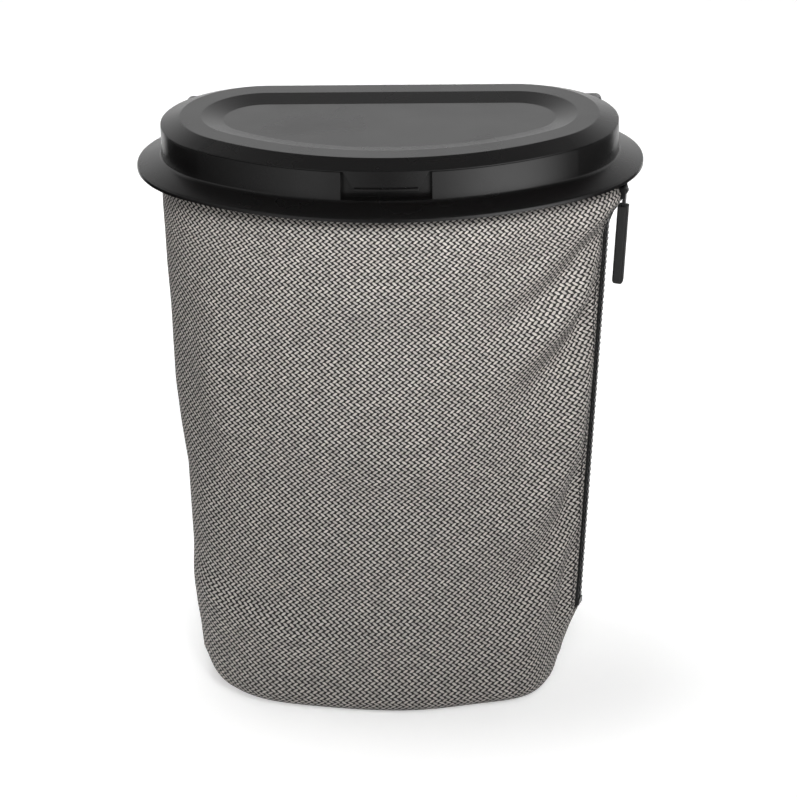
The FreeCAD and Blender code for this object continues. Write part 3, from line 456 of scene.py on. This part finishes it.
# Bag base: a D of the same fabric, sewn to the turned-in edge, that the bin stands on.
BASE_COLUMNS, BASE_RINGS = 160, 14
BASE_CENTRE = np.array([0.0, -9.0, 0.5])
EDGE_DROP, EDGE_POWER = 0.2, 6       # the edge lies a little below the sewn edge, and only it turns up
edge_offset, edge_height = rows[-1]
total = float(sum(spans(np.array(edge_offset))))
along = total * np.arange(BASE_COLUMNS) / BASE_COLUMNS
edge = wall_points(along, np.full(BASE_COLUMNS, edge_offset), np.full(BASE_COLUMNS, edge_height))
verts, uvs, faces = [BASE_CENTRE], [BASE_CENTRE[:2]], []
for i in range(1, BASE_RINGS + 1):
    share = i / BASE_RINGS
    for x, y, z in edge:
        point = BASE_CENTRE + np.array([x * share, (y - BASE_CENTRE[1]) * share,
                                        (z - EDGE_DROP) * share ** EDGE_POWER])
        verts.append(point)
        uvs.append(point[:2])
for c in range(BASE_COLUMNS):
    d = (c + 1) % BASE_COLUMNS
    faces.append((0, 1 + c, 1 + d))
    for i in range(BASE_RINGS - 1):
        a = 1 + i * BASE_COLUMNS
        b = a + BASE_COLUMNS
        faces.append((a + c, b + c, b + d, a + d))
bag_base = mesh_object("bag_base", verts, faces, uvs, [woven_fabric, coating])
layer = bag_base.modifiers.new("thickness", "SOLIDIFY")
layer.thickness = FABRIC_THICK
layer.offset = -1.0
layer.material_offset = 1
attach(bag_base, "bin")
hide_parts("bag_base_panel")


# Zip: two woven tapes sewn behind the edges of the gap, each with a row of moulded teeth on a cord,
# small stops at the ends, and a line of lockstitch through fabric and tape on either side.
TAPE_HALF, TAPE_EDGE = 11.6, 1.2     # outer and inner edge, from the zip's middle
TAPE_BACK = 1.45                     # face of the tape, behind the face of the fabric
TAPE_OVER, TAPE_UNDER = 0.2, 1.6     # ends short of the gap's top, and past its foot
TAPE_LOOSE = (2.0, 5.0)              # from the middle, where the tape starts to follow the fabric
TAPE_THICK = 0.0007                  # metres
TAPE_COLUMNS, TAPE_ROWS = 9, 120

# Woven polyester tape: a fine ribbed herringbone, dull black, that shows as short slanted ribs.
RIB_MM, BAND_MM = 1.1, 2.4
woven_tape, tree, shader = new_material("woven_polyester_tape")
flat = add_node(tree, "ShaderNodeUVMap", uv_map="flat")
parts = add_node(tree, "ShaderNodeSeparateXYZ", {"Vector": flat.outputs["UV"]})
band = add_node(tree, "ShaderNodeMath", {0: parts.outputs["X"], 1: 1000 / BAND_MM}, operation="MULTIPLY")
zigzag = add_node(tree, "ShaderNodeMath", {0: band.outputs[0], 1: 1.0}, operation="PINGPONG")
ribs = add_node(tree, "ShaderNodeMath", {0: parts.outputs["Y"], 1: 1000 / RIB_MM, 2: zigzag.outputs[0]},
                operation="MULTIPLY_ADD")
turn = add_node(tree, "ShaderNodeMath", {0: ribs.outputs[0], 1: 2 * math.pi}, operation="MULTIPLY")
wave = add_node(tree, "ShaderNodeMath", {0: turn.outputs[0]}, operation="SINE")
lift = add_node(tree, "ShaderNodeMapRange", {"Value": wave.outputs[0], "From Min": -1.0, "From Max": 1.0})
shade = add_node(tree, "ShaderNodeMix", {"Factor": lift.outputs["Result"], "A": linear("#121212"),
                 "B": linear("#242424")}, data_type="RGBA")
bump = add_node(tree, "ShaderNodeBump", {"Height": lift.outputs["Result"], "Strength": 0.6,
                "Distance": 0.0002})
tree.links.new(shade.outputs["Result"], shader.inputs["Base Color"])
tree.links.new(bump.outputs["Normal"], shader.inputs["Normal"])
shader.inputs["Roughness"].default_value = 0.85

for name, side in (("zipper_tape_front", 1), ("zipper_tape_back", -1)):
    verts, uvs, faces = [], [], []
    levels = np.linspace(ZIP_HIGH - TAPE_OVER, ZIP_LOW - TAPE_UNDER, TAPE_ROWS)
    steps = np.linspace(TAPE_EDGE, TAPE_HALF, TAPE_COLUMNS)
    for z in levels:
        z_row = np.full(TAPE_COLUMNS, z)
        wall = wall_offset(z_row)
        fabric = wall + slack(np.mod(side * steps, sum(spans(wall))), wall, z_row)
        offset = zip_offset(z) - TAPE_BACK + smooth(*TAPE_LOOSE, steps) * (fabric - zip_offset(z))
        x, y, nx, ny = outline(side * steps, wall)
        out = offset - wall
        verts.extend(np.stack([x + nx * out, y + ny * out, z_row], -1))
        uvs.extend(np.stack([steps, z_row], -1))
    for r in range(TAPE_ROWS - 1):
        for c in range(TAPE_COLUMNS - 1):
            a = r * TAPE_COLUMNS + c
            b = a + TAPE_COLUMNS
            quad = (a, b, b + 1, a + 1)
            faces.append(quad if side > 0 else quad[::-1])
    tape = mesh_object("sewn_" + name, verts, faces, uvs, [woven_tape])
    layer = tape.modifiers.new("thickness", "SOLIDIFY")
    layer.thickness = TAPE_THICK
    layer.offset = -1.0
    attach(tape, "bin")
    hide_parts(name)

# Bonded polyester thread: black, with a tight twist that breaks its sheen into short slanting glints.
# It is drawn thicker than sewing thread, at 0.7 mm, so that it shows.
STITCH_MM, PITCH_MM, THREAD_MM = 2.5, 3.1, 0.7
TWIST_MM = 2.2
SEAM = 9.2                           # from the zip's middle
SEAM_LOW, SEAM_HIGH = 41.0, 251.0
DIVE = (-0.7, 0.05, 0.3, 0.3, 0.05, -0.7)   # a stitch along its length, in threads out from the fabric
SIDES = 6
sewing_thread, tree, shader = new_material("bonded_polyester_thread")
flat = add_node(tree, "ShaderNodeUVMap", uv_map="flat")
twist = add_node(tree, "ShaderNodeTexWave", {"Vector": flat.outputs["UV"], "Scale": 1000 / TWIST_MM,
                 "Distortion": 0.6}, bands_direction="DIAGONAL")
shade = add_node(tree, "ShaderNodeMix", {"Factor": twist.outputs["Fac"], "A": linear("#0f0f0f"),
                 "B": linear("#303030")}, data_type="RGBA")
bump = add_node(tree, "ShaderNodeBump", {"Height": twist.outputs["Fac"], "Strength": 0.6, "Distance": 0.0001})
tree.links.new(shade.outputs["Result"], shader.inputs["Base Color"])
tree.links.new(bump.outputs["Normal"], shader.inputs["Normal"])
shader.inputs["Roughness"].default_value = 0.5
verts, uvs, faces = [], [], []
for side in (1, -1):
    for low in np.arange(SEAM_LOW, SEAM_HIGH, PITCH_MM):
        z = low + STITCH_MM * np.linspace(0, 1, len(DIVE))
        wall = wall_offset(z)
        along = np.mod(side * SEAM + 0 * z, sum(spans(wall)))
        nx, ny = outline(along, wall)[2:]
        out = THREAD_MM * np.array(DIVE)
        centre = wall_points(along, wall, z) + np.stack([nx * out, ny * out, 0 * z], -1)
        for i in range(len(DIVE)):
            a = len(verts)
            b = a + SIDES
            for k in range(SIDES):
                turn = 2 * math.pi * k / SIDES
                reach = np.array([math.cos(turn) * nx[i] - math.sin(turn) * ny[i],
                                  math.cos(turn) * ny[i] + math.sin(turn) * nx[i], 0])
                verts.append(centre[i] + THREAD_MM / 2 * reach)
                uvs.append(np.array([k * THREAD_MM / 2, z[i]]))
                d = (k + 1) % SIDES
                if i < len(DIVE) - 1:
                    faces.append((a + k, a + d, b + d, b + k))
zip_stitching = mesh_object("zip_stitching", verts, faces, uvs, [sewing_thread])
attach(zip_stitching, "bin")

# Acetal teeth and stops: black, slightly waxy, so they catch small soft highlights.
WAX_MM = 2.0
acetal, tree, shader = new_material("moulded_acetal")
place = add_node(tree, "ShaderNodeTexCoord")
waxy = add_node(tree, "ShaderNodeTexNoise", {"Vector": place.outputs["Object"], "Scale": 1000 / WAX_MM,
                "Detail": 2.0})
shade = add_node(tree, "ShaderNodeMix", {"Factor": waxy.outputs["Fac"], "A": linear("#161616"),
                 "B": linear("#262626")}, data_type="RGBA")
rough = add_node(tree, "ShaderNodeMapRange", {"Value": waxy.outputs["Fac"], "To Min": 0.3, "To Max": 0.5})
tree.links.new(shade.outputs["Result"], shader.inputs["Base Color"])
tree.links.new(rough.outputs["Result"], shader.inputs["Roughness"])
shader.inputs["IOR"].default_value = 1.48
finish_in(acetal, "zipper_teeth_front", "zipper_teeth_back", "top_stop_front", "top_stop_back", "bottom_stop")


# Slider and link: die-cast zinc, black lacquered, with the colour worn thin where the link rubs.
WEAR_MM = 1.5
lacquered_zinc, tree, shader = new_material("lacquered_zinc")
place = add_node(tree, "ShaderNodeTexCoord")
wear = add_node(tree, "ShaderNodeTexNoise", {"Vector": place.outputs["Object"], "Scale": 1000 / WEAR_MM,
                "Detail": 3.0})
shade = add_node(tree, "ShaderNodeMix", {"Factor": wear.outputs["Fac"], "A": linear("#0f0f10"),
                 "B": linear("#2a2a2b")}, data_type="RGBA")
rough = add_node(tree, "ShaderNodeMapRange", {"Value": wear.outputs["Fac"], "To Min": 0.22, "To Max": 0.42})
soft_edge = add_node(tree, "ShaderNodeBevel", {"Radius": 0.0003}, samples=4)
tree.links.new(shade.outputs["Result"], shader.inputs["Base Color"])
tree.links.new(rough.outputs["Result"], shader.inputs["Roughness"])
tree.links.new(soft_edge.outputs["Normal"], shader.inputs["Normal"])
finish_in(lacquered_zinc, "zipper_slider", "pull_link")


# Grip: soft thermoplastic rubber moulded over the end of the link, dull charcoal with a fine grain.
RUBBER_MM = 0.6
soft_rubber, tree, shader = new_material("thermoplastic_rubber")
place = add_node(tree, "ShaderNodeTexCoord")
grain = add_node(tree, "ShaderNodeTexNoise", {"Vector": place.outputs["Object"], "Scale": 1000 / RUBBER_MM,
                 "Detail": 2.0})
shade = add_node(tree, "ShaderNodeMix", {"Factor": grain.outputs["Fac"], "A": linear("#1b1b1b"),
                 "B": linear("#292929")}, data_type="RGBA")
soft_edge = add_node(tree, "ShaderNodeBevel", {"Radius": 0.0006}, samples=4)
bump = add_node(tree, "ShaderNodeBump", {"Height": grain.outputs["Fac"], "Strength": 0.25, "Distance": 0.0001,
                "Normal": soft_edge.outputs["Normal"]})
tree.links.new(shade.outputs["Result"], shader.inputs["Base Color"])
tree.links.new(bump.outputs["Normal"], shader.inputs["Normal"])
shader.inputs["Roughness"].default_value = 0.7
finish_in(soft_rubber, "pull_grip")


# Hem strip: a flat polyethylene band inside the top hem; only its lower edge can be seen, from inside.
MARK_MM = 3.0
band_plastic, tree, shader = new_material("polyethylene_band")
place = add_node(tree, "ShaderNodeTexCoord")
marks = add_node(tree, "ShaderNodeTexNoise", {"Vector": place.outputs["Object"], "Scale": 1000 / MARK_MM,
                 "Detail": 3.0})
shade = add_node(tree, "ShaderNodeMix", {"Factor": marks.outputs["Fac"], "A": linear("#232323"),
                 "B": linear("#303030")}, data_type="RGBA")
tree.links.new(shade.outputs["Result"], shader.inputs["Base Color"])
shader.inputs["Roughness"].default_value = 0.5
finish_in(band_plastic, "hem_strip")


# Floor: a wide sheet of white board that the bin stands on.
# Matt white board: even and dull, and the camera and mirrors see it lifted to white, with its shadow.
FLOOR_HALF = 9.0                     # metres
WHITE_LIFT = 0.53
floor_mesh = bpy.data.meshes.new("studio_floor")
floor_mesh.from_pydata([(-FLOOR_HALF, -FLOOR_HALF, 0), (FLOOR_HALF, -FLOOR_HALF, 0),
                        (FLOOR_HALF, FLOOR_HALF, 0), (-FLOOR_HALF, FLOOR_HALF, 0)], [], [(0, 1, 2, 3)])
floor = bpy.data.objects.new("studio_floor", floor_mesh)
bpy.context.scene.collection.objects.link(floor)
white_board, tree, shader = new_material("matt_white_board")
path = add_node(tree, "ShaderNodeLightPath")
seen = add_node(tree, "ShaderNodeMath", {0: path.outputs["Is Camera Ray"], 1: path.outputs["Is Glossy Ray"]},
                operation="MAXIMUM")
seen = add_node(tree, "ShaderNodeMath", {0: seen.outputs[0], 1: path.outputs["Is Transmission Ray"]},
                operation="MAXIMUM")
lift = add_node(tree, "ShaderNodeMath", {0: seen.outputs[0], 1: WHITE_LIFT}, operation="MULTIPLY")
tree.links.new(lift.outputs[0], shader.inputs["Emission Strength"])
shader.inputs["Base Color"].default_value = linear("#d8d8d8")
shader.inputs["Emission Color"].default_value = (1, 1, 1, 1)
shader.inputs["Roughness"].default_value = 0.9
shader.inputs["Specular IOR Level"].default_value = 0.0
floor.data.materials.append(white_board)


# Reflection strip: a low strip bent round the front and sides, hidden from the camera, from diffuse light and
# from shadows, that glows so that the glossy plastic mirrors it in place of the floor: painted reflections.
# Its glow is darkest at the far left and brightest, above white, at the front right.
CARD_RADIUS, CARD_HALF, CARD_STEP = 0.21, 115, 5     # metres and degrees
CARD_ROWS = ((0.0, 0.1), (0.15, 0.1), (0.19, 1.0), (0.262, 1.0))     # height in metres, share of the tone
# Glow of the painted reflections round the strip: degrees right of the front, and emission level, where above
# 1 is brighter than white.
CARD_GLOW = ((-115, 0.05), (-75, 0.01), (-50, 0.35), (-30, 0.8), (0, 0.2), (22, 1.1), (40, 2.5), (55, 2.1),
              (70, 0.1), (115, 0.1))                 # degrees right of the front, tone
card_mesh = bpy.data.meshes.new("reflection_glow_strip")
bend = np.arange(-CARD_HALF, CARD_HALF + 1, CARD_STEP)
verts, faces = [], []
for column, a in enumerate(np.radians(bend)):
    verts.extend((CARD_RADIUS * math.sin(a), -CARD_RADIUS * math.cos(a), z) for z, share in CARD_ROWS)
    for k in range(len(CARD_ROWS) - 1):
        low = column * len(CARD_ROWS) + k
        if column < len(bend) - 1:
            faces.append((low, low + len(CARD_ROWS), low + len(CARD_ROWS) + 1, low + 1))
card_mesh.from_pydata(verts, [], faces)
levels = np.interp(bend, *np.transpose(CARD_GLOW))
glow_paint = card_mesh.color_attributes.new("tone", "FLOAT_COLOR", "POINT")
for i, level in enumerate(np.outer(levels, [share for z, share in CARD_ROWS]).ravel()):
    glow_paint.data[i].color = (level, level, level, 1)
card = bpy.data.objects.new("reflection_glow_strip", card_mesh)
bpy.context.scene.collection.objects.link(card)
# The strip is emission alone, with no colour of its own: it glows to paint reflections into the plastic.
reflection_glow_material, tree, shader = new_material("painted_reflection_glow")
tone = add_node(tree, "ShaderNodeVertexColor", layer_name="tone")
tree.links.new(tone.outputs["Color"], shader.inputs["Emission Color"])
shader.inputs["Base Color"].default_value = (0, 0, 0, 1)
shader.inputs["Emission Strength"].default_value = 1.0
shader.inputs["Specular IOR Level"].default_value = 0.0
card.data.materials.append(reflection_glow_material)
card.visible_camera = False
card.visible_diffuse = False
card.visible_shadow = False


# Light: a white room, bright low down, dark overhead and behind the camera, with a soft lamp in front
# and another above, neither of which shows in the plastic.
world = bpy.data.worlds.new("studio_room")
bpy.context.scene.world = world
world.use_nodes = True
tree = world.node_tree
backing = tree.nodes["Background"]
way = add_node(tree, "ShaderNodeTexCoord")
parts = add_node(tree, "ShaderNodeSeparateXYZ", {"Vector": way.outputs["Generated"]})
rear = add_node(tree, "ShaderNodeMapRange", {"Value": parts.outputs["Y"], "From Min": -0.1,
                "From Max": 0.35}, interpolation_type="SMOOTHSTEP")
front_wall = add_node(tree, "ShaderNodeMapRange", {"Value": parts.outputs["Z"], "From Min": 0.25,
                      "From Max": 0.6, "To Min": 0.55, "To Max": 0.05}, interpolation_type="SMOOTHSTEP")
camera_side = add_node(tree, "ShaderNodeMapRange", {"Value": parts.outputs["Y"], "From Min": -0.97,
                       "From Max": -0.6, "To Min": 0.3, "To Max": 1.0}, interpolation_type="SMOOTHSTEP")
front_wall = add_node(tree, "ShaderNodeMath", {0: front_wall.outputs["Result"],
                      1: camera_side.outputs["Result"]}, operation="MULTIPLY")
rear_wall = add_node(tree, "ShaderNodeMapRange", {"Value": parts.outputs["Z"], "From Min": 0.36,
                     "From Max": 0.85, "To Min": 0.91, "To Max": 0.1}, interpolation_type="SMOOTHSTEP")
level = add_node(tree, "ShaderNodeMix", {"Factor": rear.outputs["Result"], "A": front_wall.outputs[0],
                 "B": rear_wall.outputs["Result"]}, data_type="FLOAT")
tree.links.new(level.outputs["Result"], backing.inputs["Strength"])
backing.inputs["Color"].default_value = (1, 1, 1, 1)

# Each lamp: name, place, width and height in metres, watts, spread in degrees. Both are aimed above the
# lid, so that the light on the bag falls off downwards.
LAMP_AIM = Vector((0, 0, 0.44))
for name, spot, across, down, power, spread in (("front_panel", (0.2, -1.1, 1.0), 0.6, 0.4, 2.25, 44),
                                                ("top_panel", (-0.12, 0.02, 1.7), 0.5, 0.5, 14.0, 180)):
    lamp = bpy.data.lights.new(name, "AREA")
    lamp.shape = "RECTANGLE"
    lamp.size = across
    lamp.size_y = down
    lamp.energy = power
    lamp.spread = math.radians(spread)
    lamp_at = bpy.data.objects.new(name, lamp)
    bpy.context.scene.collection.objects.link(lamp_at)
    lamp_at.location = spot
    lamp_at.rotation_euler = (LAMP_AIM - lamp_at.location).to_track_quat("-Z", "Y").to_euler()
    lamp_at.visible_camera = False
    lamp_at.visible_glossy = False


# Camera: three metres off, 20 degrees above the lid and a little to the right, turned with the photograph.
ELEVATION, YAW, ROLL, DISTANCE = math.radians(19.884), math.radians(1.754), math.radians(-0.990), 3.0
PIVOT = Vector((0, -0.020, 0.290))                   # the lid's top, that the camera goes round
CAMERA_AIM = Vector((0.002597, -0.020, 0.152577))
FOCAL_PIXELS, PICTURE_PIXELS, SENSOR_MM = 6379.16, 797, 36.0
camera_data = bpy.data.cameras.new("camera")
camera = bpy.data.objects.new("camera", camera_data)
bpy.context.scene.collection.objects.link(camera)
camera.location = PIVOT + DISTANCE * Vector((math.cos(ELEVATION) * math.sin(YAW),
                                             -math.cos(ELEVATION) * math.cos(YAW), math.sin(ELEVATION)))
look = (CAMERA_AIM - camera.location).to_track_quat("-Z", "Y").to_matrix().to_4x4()
camera.rotation_euler = (look @ Matrix.Rotation(ROLL, 4, "Z")).to_euler()
camera_data.lens = SENSOR_MM * FOCAL_PIXELS / PICTURE_PIXELS
camera_data.clip_end = 50.0
bpy.context.scene.camera = camera
bpy.context.scene.view_settings.view_transform = "Standard"
